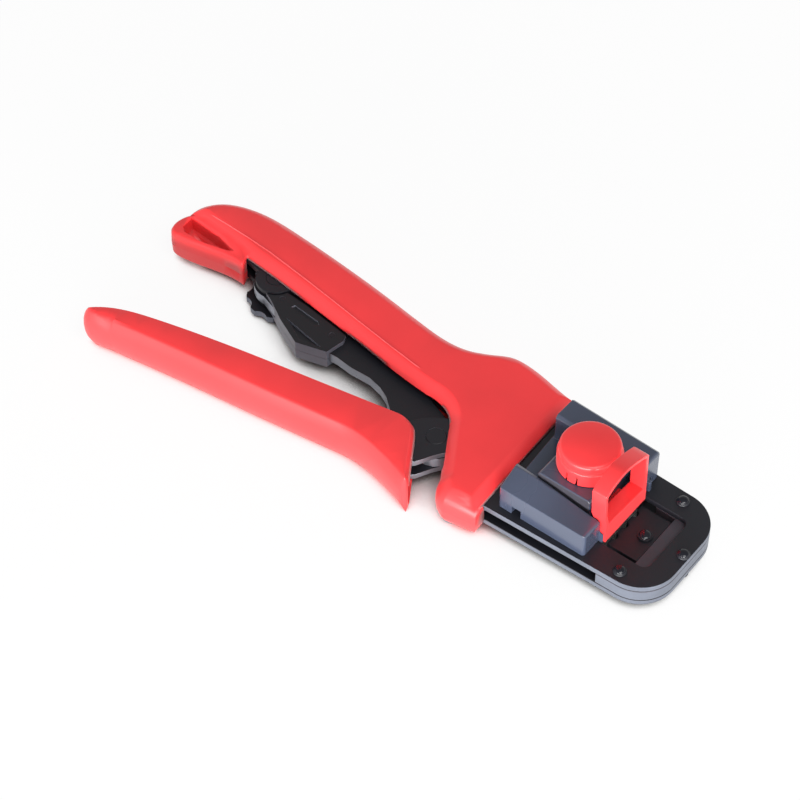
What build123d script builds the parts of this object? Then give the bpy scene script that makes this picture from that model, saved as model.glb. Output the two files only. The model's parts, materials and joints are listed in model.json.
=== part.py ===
"""Hand crimping tool: plate frame, toggle link, sliding jaw, two handles and a terminal locator.

X runs towards the nose, Y from the moving handle to the fixed handle, Z up. The mid plane of the
plate stack is Z_MID and the tool lies flat on Z = 0. Plan coordinates are drawn for the lengths
DRAWN_REACH and DRAWN_HEAD; place() stretches them to REACH and HEAD_L.
"""
import math
import os

from build123d import *

# main lengths, from the jaw pivot to the rear end and to the nose
REACH = 166.4
HEAD_L = 87.5
DRAWN_REACH = 166.4
DRAWN_HEAD = 87.5
THROUGH = 90.0

# stack of layers
Z_MID = 9.5
HALF_BODY = 9.5
PLATE = 2.5
GAP = 5.0
Z_GAP0 = Z_MID - GAP / 2
Z_GAP1 = Z_MID + GAP / 2
Z_LOW = Z_GAP0 - PLATE
Z_TOP = Z_GAP1 + PLATE
FACE_CLEAR = 0.1
SLIDE_CLEAR = 0.05
ARM_T = 4.6

# fits
RUN = 0.05
LOOP_PLAY = 0.30
SCREW_CLEAR = 0.15
POCKET_AIR = 0.8
COVER_AIR = 0.4

# pivots
P1 = (47.0, 0.0)
P2 = (29.0, -10.5)
P3 = (-69.0, 15.0)
PIN_R = 4.0
ADJ_PIN_R = 4.0
KEY_R = 2.8
EYE_R = 9.0
EAR_R = 8.2
PIN_CHAMFER = 0.3

# head
NOSE_X = 134.5
NOSE_R = 15.0
NOSE_TAPER = 15.5
HEAD_HALF = 24.3
HEAD_HALF_REAR = 26.0
HEAD_REAR_X = 62.0
WINDOW_L = 33.2
WINDOW_X1 = NOSE_X - 9.3
WINDOW_HALF = 13.6
WINDOW_R = 3.0
SPACER_L = 23.5
RIVET_R = 1.8
RIVET_HEAD_R = 2.6
RIVET_HEAD_H = 0.9
RIVET_EDGE = 0.5
NOSE_RIVETS = ((118.3, 20.0), (118.3, -20.0), (132.0, 0.0))

# dies and slide
ANVIL_L = 13.0
ANVIL_X1 = NOSE_X - 15.0
ANVIL_X0 = ANVIL_X1 - ANVIL_L
DIE_HALF = 9.0
ANVIL_HALF = 11.0
DIE_SCREW = (ANVIL_X1 - 3.9, 0.0)
DIE_SCREW_R = 2.0
DIE_SCREW_HEAD_R = 2.8
DIE_SCREW_HEAD_H = 1.2
JAW_GAP = 4.6
NEST_PITCH = 6.5
NEST_R = 1.6
PUNCH_L = 8.0
TOOTH_L = 1.2
TOOTH_HALF = 1.0
KEY_L = 2.5
KEY_HALF = 3.0
SLIDE_HALF = 10.0
SLIDE_X0 = 57.0
SHOULDER_L = 7.0
SHOULDER_HALF = 17.0
GUIDE_X0 = 76.0
GUIDE_L = 28.0
GUIDE_W = 9.0
GUIDE_RIVET_Y = SLIDE_HALF + 7.5
GUIDE_RIVETS = (80.0, 100.0)
SPRING_R = 2.2
SPRING_WIRE = 0.35
SPRING_Y = 13.5
SPRING_SEAT = 4.0
SPRING_TURNS = 5
TRAVEL = 3.2

# moving handle
PAWL_PIVOT = (10.4, -25.6)
PAWL_HUB = 3.2
PAWL_ANGLE = 219.0
PAWL_CLEAR = 0.3
PAWL_PIN_R = 1.6
SECTOR_R = 17.0
TOOTH = 1.2
TEETH = 8
TEETH_FROM = 202.4
TEETH_PITCH = 2.1
LEAF_POST = (-9.5, -26.0)
LEAF_R = 1.5
LEAF_T = 0.5
LEAF_HALF = 1.5
LEAF_AIR = 1.3
LEAF_AT = 0.55
NUB = (-6.5, -14.6)
NUB_R = 1.5
HANDLE_RIVETS = ((18.5, -27.2), (-38.0, -32.0), (-86.0, -37.0))
HANDLE_RIVET_R = 1.5
HANDLE_COLLAR_R = 2.1

# fixed handle
HANG_HOLE = (-108.2, 14.25)
HANG_R = 3.3
SHELL_SCREWS = ((49.6, -28.8), (56.0, 29.5), (12.0, 24.0), (-45.0, 30.0), (-95.0, 29.5))
SHELL_SCREW_R = 1.5
SHELL_SCREW_HEAD_R = 2.6
SHELL_SCREW_HEAD_H = 1.8
SHELL_SCREW_END = 14.0
SHELL_SCREW_SINK = 0.3
SHELL_SCREW_ROOF = 2.5
DRIVE_R = 1.2
DRIVE_H = 0.9
SPINE_RIVETS = ((33.0, 27.0), (-15.0, 26.5), (-76.0, 30.0))
FLOOR_T = 1.2

# adjuster
STAR_R = 12.2
STAR_LOBES = 9
STAR_T = 2.9
STAR_DIP = 1.4
STAR_CUT = 2.6
STAR_ANGLE = 15.5

# locator
LOC_Y = 0.6
LOC_X0 = 63.5
LOC_FLOOR = 2.5
LOC_FLOOR_X1 = 98.0
WALL_X1 = 104.5
NEAR_X0 = 66.5
FAR_X0 = 65.0
NEAR_WALL = [(-22.8, 14.5), (-11.6, 14.5), (-11.6, 28.0), (-13.4, 28.8), (-22.8, 25.4)]
FAR_WALL = [(14.0, 14.5), (24.4, 14.5), (24.4, 27.6), (23.0, 29.0), (15.2, 29.4), (14.0, 28.2)]
FAR_WALL_REAR = [(14.0, 14.5), (25.8, 14.5), (25.8, 27.6), (24.4, 29.0), (15.2, 29.4), (14.0, 28.2)]
WALL_BEVEL = 1.8
NOTCH = (72.6, 76.4, 3.0, 4.0)
RIB = (1.6, 1.8, 5.0)
DECK_X0 = 75.5
DECK_X1 = 98.4
DECK_Y0 = -11.6
DECK_Y1 = 14.0
DECK_TOP = 29.8
DECK_BEVEL = 0.8
KNOB = (87.4, 3.6)
KNOB_R = 12.1
KNOB_STEP_R = 11.5
KNOB_FACE_R = 10.5
KNOB_H = 9.6
KNOB_STEP_H = 4.4
KNOB_FACE_H = 0.9
KNOB_AIR = 0.4
KNOB_HUB_R = 8.0
KNOB_HUB_H = 3.0
KNOB_SLOTS = (260.7, 283.7, 306.7)
KNOB_SLOT_R = 0.7
KNOB_SLOT_H = 4.4
SPINDLE_R = 2.5
SPINDLE_HEAD_R = 4.0
SPINDLE_HEAD_H = 1.8
SPINDLE_HEAD_AIR = 0.3
SPINDLE_DEPTH = 6.0
DECK_AIR = 1.4
ARCH_X0 = DECK_X1 + DECK_AIR
ARCH_L = 7.8
ARCH_Y0 = -11.3
ARCH_Y1 = 13.4
ARCH_TOP = 40.0
ARCH_FALL = 1.6
ARCH_BAR = 8.8
ARCH_CROWN = 3.4
ARCH_NEAR_W = 3.4
ARCH_FAR_W = 2.0
ARCH_NEAR_R = 7.0
ARCH_FAR_R = 2.0
ARCH_HOLE_R = 5.0
ARCH_AIR = 0.2
TONGUE_T = 3.0
TONGUE_HALF = 7.0
TONGUE_X0 = 80.0
TONGUE_SIDE = 0.2
TONGUE_FLOOR = 1.0
TONGUE_LIFT = 0.1
TONGUE_ROOF = 0.2
ARCH_SPRING_L = 5.7
ARCH_SPRING_R = 1.4
ARCH_SPRING_WIRE = 0.3
LOC_SCREWS = ((70.0, -17.0), (70.0, 19.0), (91.0, -17.2), (91.0, 19.0))
LOC_SCREW_R = 1.5
LOC_SCREW_L = 8.0
LOC_SCREW_FOOT = 0.2

# outlines in plan; those of mouldings are lists of segments that share their end points
BODY_EDGE = [
    [(-84.0, 14.7), (-65.2, 12.8), (-54.3, 11.5), (-35.1, 9.0), (-12.4, 5.5), (1.2, 3.6), (14.0, 2.4)],
    [(14.0, 2.4), (22.5, 1.2), (27.3, -1.8), (30.6, -6.4)],
    [(30.6, -6.4), (42.0, -25.4)],
    [(42.0, -25.4), (44.4, -31.0), (50.0, -34.2)],
    [(50.0, -34.2), (63.4, -32.0)],
    [(63.4, -32.0), (61.2, 34.6)],
    [(61.2, 34.6), (47.0, 37.2), (36.0, 38.9), (28.4, 38.3), (22.8, 35.5), (17.6, 32.8)],
    [(17.6, 32.8), (11.5, 30.6), (4.5, 29.9), (-6.4, 30.8), (-28.0, 33.9), (-52.0, 36.7), (-77.7, 38.8)],
    [(-77.7, 38.8), (-90.5, 39.1), (-102.2, 37.3), (-111.2, 33.2), (-116.9, 26.5), (-118.6, 18.3)],
    [(-118.6, 18.3), (-100.0, 17.4), (-84.0, 14.7)],
]
BODY_LEVELS = [(9.5, 0.0), (12.4, 0.15), (14.4, 0.7), (16.0, 1.6), (17.5, 3.1), (18.5, 4.4), (19.0, 5.6)]
STUB_EDGE = [
    [(-117.8, 19.0), (-119.5, 13.6), (-118.8, 9.4), (-114.0, 7.2)],
    [(-114.0, 7.2), (-104.0, 8.6), (-94.0, 10.6), (-82.6, 11.0)],
    [(-82.6, 11.0), (-84.0, 14.7)],
    [(-84.0, 14.7), (-84.0, 24.0)],
    [(-84.0, 24.0), (-112.0, 24.0)],
    [(-112.0, 24.0), (-117.8, 19.0)],
]
STUB_LEVELS = [(9.5, 0.0), (14.6, 0.2), (15.6, 0.7), (16.0, 1.4)]
STUB_POCKET = [(-115.6, 18.6), (-115.2, 12.6), (-112.6, 10.6), (-104.0, 10.6), (-92.4, 13.4),
               (-90.4, 14.8), (-100.0, 17.2)]
POCKET_FLOOR = 7.5
BODY_CAVITY = [
    (70.0, -26.4), (49.0, -26.4), (47.0, -24.0), (44.0, -20.0), (30.0, -22.0), (-40.0, -20.0),
    (-82.4, -20.0), (-82.4, 5.0), (-83.6, 14.6), (-88.4, 15.8), (-88.4, 35.2), (-50.0, 33.8),
    (10.0, 28.0), (28.0, 31.5), (50.0, 31.0), (70.0, 27.0),
]
GRIP_TIP = (39.0, -39.6)
GRIP_TIP_A = (28.0, -36.5)
GRIP_TIP_B = (33.0, -30.0)
GRIP_TIP_R = 2.8
GRIP_EDGE = [
    [(-116.6, -43.8), (-114.2, -47.0), (-108.8, -47.8), (-100.6, -46.2)],
    [(-100.6, -46.2), (-82.5, -43.4), (-59.8, -40.3), (-37.1, -37.5), (-15.4, -34.5), (-1.0, -32.5)],
    [(-1.0, -32.5), (9.0, -32.3), (19.0, -34.0), GRIP_TIP_A, GRIP_TIP],
    [GRIP_TIP, GRIP_TIP_B, (28.4, -22.6), (24.0, -15.6)],
    [(24.0, -15.6), (20.0, -11.8), (13.2, -10.6)],
    [(13.2, -10.6), (0.7, -12.8), (-20.4, -16.6), (-45.7, -21.1), (-72.1, -26.4), (-92.7, -31.4)],
    [(-92.7, -31.4), (-104.0, -35.2), (-111.4, -39.4), (-116.6, -43.8)],
]
GRIP_LEVELS = [(9.5, 0.0), (12.4, 0.15), (14.6, 0.6), (16.6, 1.4), (18.0, 2.1), (19.0, 2.9)]
GRIP_CHANNEL = [
    (-101.0, -43.0), (-82.5, -40.4), (-59.8, -37.4), (-37.1, -34.6), (-15.4, -31.5), (-1.0, -29.4),
    (9.0, -29.3), (20.0, -31.1), (31.0, -34.1), (44.0, -39.0), (60.0, -10.0), (10.0, 0.0),
    (-101.0, -30.0),
]
FRAME_TAIL = [
    (50.0, -26.0), (63.0, -26.0), (63.0, 26.0), (50.0, 30.5), (28.0, 31.0), (10.0, 27.5),
    (-50.0, 33.2), (-88.0, 34.4), (-88.0, 16.4), (-84.9, 15.4), (-77.0, 13.6), (-61.0, 13.4),
    (-50.0, 13.0), (-12.0, 9.0), (5.0, 7.2), (20.0, 7.0), (33.0, 13.0), (50.0, 14.5), (60.6, 11.0),
    (60.6, -11.0), (50.0, -13.0),
]
SPINE_EDGE = [
    (50.0, 22.0), (50.0, 30.5), (28.0, 31.0), (10.0, 27.5), (-50.0, 33.2), (-88.0, 34.4),
    (-88.0, 27.5), (-60.0, 27.5), (-50.0, 26.0), (-10.0, 20.5), (28.0, 20.5),
]
HANDLE_EDGE = [
    (47.0, 9.0), (39.0, 4.6), (26.0, -1.6), (20.0, -6.0), (14.0, -15.0), (0.0, -19.5), (-14.0, -23.8),
    (-28.0, -28.8), (-45.0, -30.0), (-58.0, -31.0), (-66.0, -29.0), (-80.0, -31.8), (-96.0, -37.2),
    (-96.0, -42.0), (-82.0, -40.1), (-59.8, -37.1), (-37.1, -34.3), (-15.4, -31.2), (-1.0, -29.1),
    (9.0, -29.0), (20.0, -30.8), (24.0, -30.6), (30.4, -25.1), (33.6, -19.0), (38.0, -12.6), (47.0, -9.0),
]
ARM_NEAR = [
    (-69.0, 6.2), (-52.0, 0.8), (-42.0, -2.5), (-30.0, -1.2), (-25.8, -1.0), (-18.8, -1.7),
    (-9.7, -1.4), (-3.6, -2.8), (1.0, -5.0), (6.1, -9.2), (10.6, -13.2),
]
ARM_FAR = [(24.0, 1.0), (14.0, 4.6), (1.0, 7.4), (-20.0, 9.8), (-40.0, 14.0), (-60.0, 23.8), (-69.0, 24.2)]
COVER_EDGE = [
    (-77.6, 12.4), (-75.6, 10.4), (-72.6, 8.8), (-68.0, 6.9), (-63.1, 4.7), (-54.3, -0.6),
    (-42.2, -6.2), (-40.6, -5.8), (-29.6, -2.8), (-28.0, 5.6), (-30.0, 12.0), (-58.0, 20.0),
    (-64.0, 24.2), (-72.0, 24.8), (-77.6, 20.5), (-78.6, 15.0),
]
COVER_BORE = [
    (-90.0, 5.8), (-69.0, 4.4), (-60.0, 3.0), (-52.0, 0.7), (-42.0, -2.6), (-30.0, -1.3), (-20.0, -1.3),
    (-20.0, 9.6), (-40.0, 14.1), (-60.0, 25.2), (-69.0, 40.0), (-90.0, 40.0),
]
COVER_STEP = [(-90.0, 14.0), (-62.0, 12.0), (-50.0, 11.2), (-20.0, 7.2), (-20.0, 40.0), (-90.0, 40.0)]
COVER_RIDGE = [(-52.6, 1.4), (-41.8, -4.2), (-33.0, -2.0)]
COVER_SLOT = [(-55.0, 7.0), (-54.4, 8.6), (-42.0, 7.4), (-40.6, 6.2), (-42.0, 5.4)]
RIDGE_DEPTH = 1.2
SLOT_DEPTH = 0.8
COVER_HALF = 4.4
COVER_SCREWS = ((-33.4, 5.2), (-60.4, 8.2))
COVER_SCREW_R = 1.25

# the row origin lies on the resting face below the jaw pivot
HOME = Pos(-P1[0], -P1[1], 0)
PARTS = {}


def place(x):
    """Plan coordinate x stretched from the drawn lengths to the wanted ones."""
    k = HEAD_L / DRAWN_HEAD if x > P1[0] else REACH / DRAWN_REACH
    return P1[0] + (x - P1[0]) * k


def wire_at(segments, z):
    """Closed wire at height z; two-point segments are straight, longer ones are splines."""
    edges = []
    for seg in segments:
        pts = [(place(x), y, z) for x, y in seg]
        edges.append(Edge.make_line(*pts) if len(pts) == 2 else Edge.make_spline(pts))
    return Wire(edges)


def inset(segments, d):
    """The same segments with every point moved inwards by d (outline is counter-clockwise)."""
    if d == 0:
        return segments
    loop = [p for seg in segments for p in seg[:-1]]
    n = len(loop)
    moved = []
    for i, (x, y) in enumerate(loop):
        ax, ay = x - loop[i - 1][0], y - loop[i - 1][1]
        bx, by = loop[(i + 1) % n][0] - x, loop[(i + 1) % n][1] - y
        la, lb = math.hypot(ax, ay), math.hypot(bx, by)
        nx, ny = -(ay / la + by / lb), ax / la + bx / lb
        ln = math.hypot(nx, ny)
        stretch = 1 / max(0.6, ln / 2)
        moved.append((x + d * stretch * nx / ln, y + d * stretch * ny / ln))
    out, k = [], 0
    for seg in segments:
        out.append([moved[(k + j) % n] for j in range(len(seg))])
        k += len(seg) - 1
    return out


def moulding(segments, levels):
    """Solid through the outline at several heights, each with its own inset."""
    return Solid.make_loft([wire_at(inset(segments, d), z) for z, d in levels], ruled=True)


def slab(points, z0, z1):
    face = make_face(Polyline(*[(place(x), y, z0) for x, y in points], close=True))
    return extrude(face, z1 - z0, dir=(0, 0, 1))


def box(x0, x1, y0, y1, z0, z1):
    x0, x1 = place(x0), place(x1)
    return Pos((x0 + x1) / 2, (y0 + y1) / 2, (z0 + z1) / 2) * Box(x1 - x0, y1 - y0, z1 - z0)


def rod(at, r, z0, z1):
    return Pos(place(at[0]), at[1], (z0 + z1) / 2) * Cylinder(r, z1 - z0)


def bar(a, b, w, z0, z1):
    """Flat strip of width w from a to b."""
    dx, dy = b[0] - a[0], b[1] - a[1]
    k = w / 2 / math.hypot(dx, dy)
    nx, ny = -dy * k, dx * k
    return slab([(a[0] - nx, a[1] - ny), (b[0] - nx, b[1] - ny),
                 (b[0] + nx, b[1] + ny), (a[0] + nx, a[1] + ny)], z0, z1)


def polar(centre, r, deg):
    a = math.radians(deg)
    return centre[0] + r * math.cos(a), centre[1] + r * math.sin(a)


def mirrored(part):
    """Same part reflected in the mid plane of the plate stack."""
    return mirror(part, about=Plane.XY.offset(Z_MID))


def coil(r, wire, length, turns):
    """Compression spring along +X from the origin with its ends inside the length."""
    path = Edge.make_helix((length - 2 * wire) / turns, length - 2 * wire, r - wire)
    start = path @ 0
    section = Plane(origin=start, z_dir=path % 0) * Circle(wire)
    part = sweep(section, path=path)
    return Pos(wire, 0, 0) * Rot(0, 90, 0) * part


def add(name, part, colour):
    solids = [HOME * s for s in part.solids()]
    part = Compound(children=solids) if len(solids) > 1 else solids[0]
    part.label = name
    part.color = Color(*colour)
    PARTS[name] = part


RED = (0.80, 0.10, 0.08)
BLACK = (0.03, 0.03, 0.035)
GREY = (0.45, 0.47, 0.50)
SLATE = (0.20, 0.25, 0.31)
STEEL = (0.62, 0.64, 0.66)


def head_outline(z0, z1):
    half = HEAD_HALF
    part = slab([
        (HEAD_REAR_X, -HEAD_HALF_REAR), (NOSE_X - NOSE_TAPER, -half), (NOSE_X, -half),
        (NOSE_X, half), (NOSE_X - NOSE_TAPER, half), (HEAD_REAR_X, HEAD_HALF_REAR),
    ], z0, z1)
    corners = [e for e in part.edges().filter_by(Axis.Z) if e.center().X > place(NOSE_X) - 1]
    return fillet(corners, NOSE_R)


def frame_plate():
    """Upper plate: head, far side neck behind the jaw pivot and the tail with the adjuster ear."""
    z0, z1 = Z_GAP1, Z_TOP
    part = head_outline(z0, z1)
    part += slab(FRAME_TAIL, z0, z1)
    part += rod(P3, EAR_R, z0, z1)
    part -= rod(P3, ADJ_PIN_R + RUN, 0, THROUGH)
    window = box(WINDOW_X1 - WINDOW_L, WINDOW_X1, -WINDOW_HALF, WINDOW_HALF, 0, THROUGH)
    part -= fillet(window.edges().filter_by(Axis.Z), WINDOW_R)
    for at in NOSE_RIVETS + SPINE_RIVETS:
        part -= rod(at, RIVET_R, 0, THROUGH)
    for x in GUIDE_RIVETS:
        for s in (-1, 1):
            part -= rod((x, s * GUIDE_RIVET_Y), RIVET_R, 0, THROUGH)
    for at in SHELL_SCREWS[1:4]:
        part -= rod(at, SHELL_SCREW_R + SCREW_CLEAR, 0, THROUGH)
    for at in LOC_SCREWS:
        part -= rod(at, LOC_SCREW_R, 0, THROUGH)
    return part


def nose_spacer():
    part = head_outline(Z_GAP0, Z_GAP1)
    part -= box(0, NOSE_X - SPACER_L, -THROUGH, THROUGH, 0, THROUGH)
    part -= box(0, ANVIL_X1, -WINDOW_HALF, WINDOW_HALF, 0, THROUGH)
    for at in NOSE_RIVETS:
        part -= rod(at, RIVET_R, 0, THROUGH)
    return part


def rivet(at, z0, z1, head):
    part = rod(at, RIVET_R, z0, z1)
    if head:
        for z, s in ((z1, 1), (z0, -1)):
            cap = rod(at, RIVET_HEAD_R, min(z, z + s * head), max(z, z + s * head))
            rim = [e for e in cap.edges() if abs(e.center().Z - (z + s * head)) < 0.01]
            part += chamfer(rim, RIVET_EDGE)
    return part


def group(parts):
    return Compound(children=[p.solids()[0] for p in parts])


def spine_spacer():
    """Strip between the plates along the back of the fixed handle."""
    part = slab(SPINE_EDGE, Z_GAP0, Z_GAP1)
    for at in SPINE_RIVETS:
        part -= rod(at, RIVET_R, 0, THROUGH)
    for at in SHELL_SCREWS[1:4]:
        part -= rod(at, SHELL_SCREW_R + SCREW_CLEAR, 0, THROUGH)
    return part


def slide_guide(side):
    y0 = SLIDE_HALF + SLIDE_CLEAR
    part = box(GUIDE_X0, GUIDE_X0 + GUIDE_L, y0, y0 + GUIDE_W, Z_GAP0, Z_GAP1)
    for x in GUIDE_RIVETS:
        part -= rod((x, GUIDE_RIVET_Y), RIVET_R, 0, THROUGH)
    return part if side > 0 else mirror(part, about=Plane.XZ)


def anvil_die():
    part = box(ANVIL_X0, ANVIL_X1, -ANVIL_HALF, ANVIL_HALF, Z_GAP0, Z_GAP1)
    for y in (-NEST_PITCH, 0.0, NEST_PITCH):
        part -= rod((ANVIL_X0, y), NEST_R, 0, THROUGH)
    part -= rod(DIE_SCREW, DIE_SCREW_R, 0, THROUGH)
    return part


def die_screw():
    head = rod(DIE_SCREW, DIE_SCREW_HEAD_R, Z_GAP1, Z_GAP1 + DIE_SCREW_HEAD_H)
    return rod(DIE_SCREW, DIE_SCREW_R, Z_GAP0, Z_GAP1) + head


def punch_die():
    x1 = ANVIL_X0 - JAW_GAP
    z0, z1 = Z_GAP0 + SLIDE_CLEAR, Z_GAP1 - SLIDE_CLEAR
    part = box(x1 - PUNCH_L, x1, -DIE_HALF, DIE_HALF, z0, z1)
    for y in (-NEST_PITCH, 0.0, NEST_PITCH):
        part += box(x1, x1 + TOOTH_L, y - TOOTH_HALF, y + TOOTH_HALF, z0, z1)
    part -= box(x1 - PUNCH_L - 1, x1 - PUNCH_L + KEY_L, -KEY_HALF, KEY_HALF, 0, THROUGH)
    return part


def jaw_slide():
    z0, z1 = Z_GAP0 + SLIDE_CLEAR, Z_GAP1 - SLIDE_CLEAR
    x1 = ANVIL_X0 - JAW_GAP - PUNCH_L
    part = box(SLIDE_X0, x1, -SLIDE_HALF, SLIDE_HALF, z0, z1)
    part += box(SLIDE_X0, SLIDE_X0 + SHOULDER_L, -SHOULDER_HALF, SHOULDER_HALF, z0, z1)
    part += box(x1, x1 + KEY_L, -KEY_HALF, KEY_HALF, z0, z1)
    part += rod(P1, EYE_R, z0, z1)
    part += box(P1[0], SLIDE_X0 + 1, -EYE_R, EYE_R, z0, z1)
    part -= rod(P1, PIN_R + LOOP_PLAY, 0, THROUGH)
    for s in (-1, 1):
        pocket = Cylinder(SPRING_R + RUN, 2 * SPRING_SEAT)
        part -= Pos(place(SLIDE_X0 + SHOULDER_L), s * SPRING_Y, Z_MID) * Rot(0, 90, 0) * pocket
    return part


def return_spring(side):
    x0 = place(SLIDE_X0 + SHOULDER_L) - SPRING_SEAT
    length = place(GUIDE_X0) - TRAVEL - FACE_CLEAR - x0
    return Pos(x0, side * SPRING_Y, Z_MID) * coil(SPRING_R, SPRING_WIRE, length, SPRING_TURNS)


def handle_plate():
    z0, z1 = Z_GAP1, Z_TOP
    part = rod(P1, EYE_R, z0, z1) + slab(HANDLE_EDGE, z0, z1)
    for at, r in ((P1, PIN_R), (P2, PIN_R), (PAWL_PIVOT, PAWL_PIN_R)):
        part -= rod(at, r, 0, THROUGH)
    for at in HANDLE_RIVETS:
        part -= rod(at, HANDLE_RIVET_R, 0, THROUGH)
    return part


def handle_rivet(at):
    return rod(at, HANDLE_RIVET_R, Z_LOW, Z_TOP) + rod(at, HANDLE_COLLAR_R, Z_GAP0, Z_GAP1)


def pivot_pin(at):
    part = rod(at, PIN_R, Z_LOW, Z_TOP)
    return chamfer(part.edges().filter_by(GeomType.CIRCLE), PIN_CHAMFER)


def link_arm():
    """Flat arm from the adjuster pin to the handle pivot with the ratchet sector at its front."""
    z0, z1 = Z_MID - ARM_T / 2, Z_MID + ARM_T / 2
    root = SECTOR_R - TOOTH
    end = TEETH_FROM + TEETH * TEETH_PITCH
    pts = ARM_NEAR + [polar(P2, root, TEETH_FROM - 5), polar(P2, root, TEETH_FROM - 1)]
    for i in range(TEETH):
        a = TEETH_FROM + TEETH_PITCH * i
        pts += [polar(P2, SECTOR_R, a), polar(P2, root, a + TEETH_PITCH / 3),
                polar(P2, SECTOR_R, a + TEETH_PITCH * 2 / 3)]
    pts += [polar(P2, root - 1, end + 0.6), polar(P2, root - 1, end + 6)]
    pts += [polar(P2, EYE_R, a) for a in range(240, 420, 20)]
    part = slab(pts + ARM_FAR, z0, z1)
    part += rod(P3, EYE_R, z0, z1)
    part -= rod(P3, ADJ_PIN_R + RUN, 0, THROUGH)
    part -= rod(P2, PIN_R + RUN, 0, THROUGH)
    for at in COVER_SCREWS:
        part -= rod(at, COVER_SCREW_R, 0, THROUGH)
    return part


def arm_cover(upper):
    """Moulded cover half clamped on the arm, with a round pocket for the ear of the frame plate."""
    z0, z1 = Z_MID, Z_MID + COVER_HALF
    zp = Z_GAP1 - FACE_CLEAR
    part = slab(COVER_EDGE, z0, z1)
    part -= slab(COVER_BORE, 0, Z_MID + ARM_T / 2)
    part -= rod(P3, EYE_R + COVER_AIR, 0, Z_MID + ARM_T / 2)
    part -= rod(P3, EAR_R + COVER_AIR, zp, THROUGH)
    part -= slab(COVER_STEP, zp, THROUGH)
    part -= rod(P3, PIN_R + COVER_AIR, 0, THROUGH)
    for at in COVER_SCREWS:
        part -= rod(at, COVER_SCREW_R, 0, THROUGH)
    if upper:
        part -= slab(COVER_RIDGE, z1 - RIDGE_DEPTH, z1 + 1)
        part -= slab(COVER_SLOT, z1 - SLOT_DEPTH, z1 + 1)
    return part if upper else mirrored(part)


def cover_screw(at):
    return rod(at, COVER_SCREW_R, Z_MID - COVER_HALF, Z_MID + COVER_HALF)


def star_wheel():
    """Scalloped thumb wheel keyed on the adjuster pin under the lower plate."""
    z1 = Z_LOW - FACE_CLEAR
    part = rod(P3, STAR_R, z1 - STAR_T, z1)
    step = 360 / STAR_LOBES
    for i in range(STAR_LOBES):
        at = polar(P3, STAR_R + STAR_CUT, STAR_ANGLE + step * (i + 0.5))
        part -= rod(at, STAR_CUT + STAR_DIP, 0, THROUGH)
    return part - rod(P3, KEY_R, 0, THROUGH)


def adjuster_pin():
    part = rod(P3, ADJ_PIN_R, Z_LOW - FACE_CLEAR, Z_TOP)
    return part + rod(P3, KEY_R, Z_LOW - FACE_CLEAR - STAR_T, Z_LOW)


def shell(upper):
    """Half of the red body: housing over the jaw pivot and the fixed handle with its hanging end."""
    top = Z_MID + HALF_BODY
    part = moulding(BODY_EDGE, BODY_LEVELS) + moulding(STUB_EDGE, STUB_LEVELS)
    if not upper:
        part = mirrored(part)
    pocket = slab(STUB_POCKET, POCKET_FLOOR, THROUGH)
    part -= pocket
    part -= rod(HANG_HOLE, HANG_R, 0, THROUGH)
    part -= slab(BODY_CAVITY, Z_LOW - FACE_CLEAR, Z_TOP + FACE_CLEAR)
    for at in SHELL_SCREWS:
        part -= rod(at, SHELL_SCREW_R, 0, top - SHELL_SCREW_ROOF)
    if upper:
        return part
    for at in SHELL_SCREWS:
        part -= rod(at, SHELL_SCREW_HEAD_R + FACE_CLEAR, -1, SHELL_SCREW_HEAD_H + SHELL_SCREW_SINK)
    return part - rod(P3, STAR_R + POCKET_AIR, FLOOR_T, Z_MID)


def shell_screw(at):
    z0 = SHELL_SCREW_SINK
    head = rod(at, SHELL_SCREW_HEAD_R, z0, z0 + SHELL_SCREW_HEAD_H)
    return rod(at, SHELL_SCREW_R, z0, SHELL_SCREW_END) + head - rod(at, DRIVE_R, 0, z0 + DRIVE_H)


def round_tip(tip, a, b, r):
    """Cutter that rounds the upright edge at tip, between the sides towards a and b, to radius r."""
    ua = Vector(a[0] - tip[0], a[1] - tip[1]).normalized()
    ub = Vector(b[0] - tip[0], b[1] - tip[1]).normalized()
    mid = (ua + ub).normalized()
    half = math.acos(mid.dot(ua))
    c = Vector(*tip) + mid * (r / math.sin(half))
    ta = Vector(*tip) + ua * (r / math.tan(half))
    tb = Vector(*tip) + ub * (r / math.tan(half))
    far = Vector(*tip) - mid * r
    ring = [c, c + (ta - c) * 3, far + (ta - c) * 3, far + (tb - c) * 3, c + (tb - c) * 3]
    return slab([(p.X, p.Y) for p in ring], 0, THROUGH) - rod((c.X, c.Y), r, 0, THROUGH)


def moving_grip():
    under = [(2 * Z_MID - z, d) for z, d in reversed(GRIP_LEVELS[1:])]
    part = moulding(GRIP_EDGE, under + GRIP_LEVELS)
    part -= round_tip(GRIP_TIP, GRIP_TIP_A, GRIP_TIP_B, GRIP_TIP_R)
    return part - slab(GRIP_CHANNEL, Z_LOW - FACE_CLEAR, Z_TOP + FACE_CLEAR)


def lever_angle():
    return math.degrees(math.atan2(NUB[1] - PAWL_PIVOT[1], NUB[0] - PAWL_PIVOT[0]))


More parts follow.
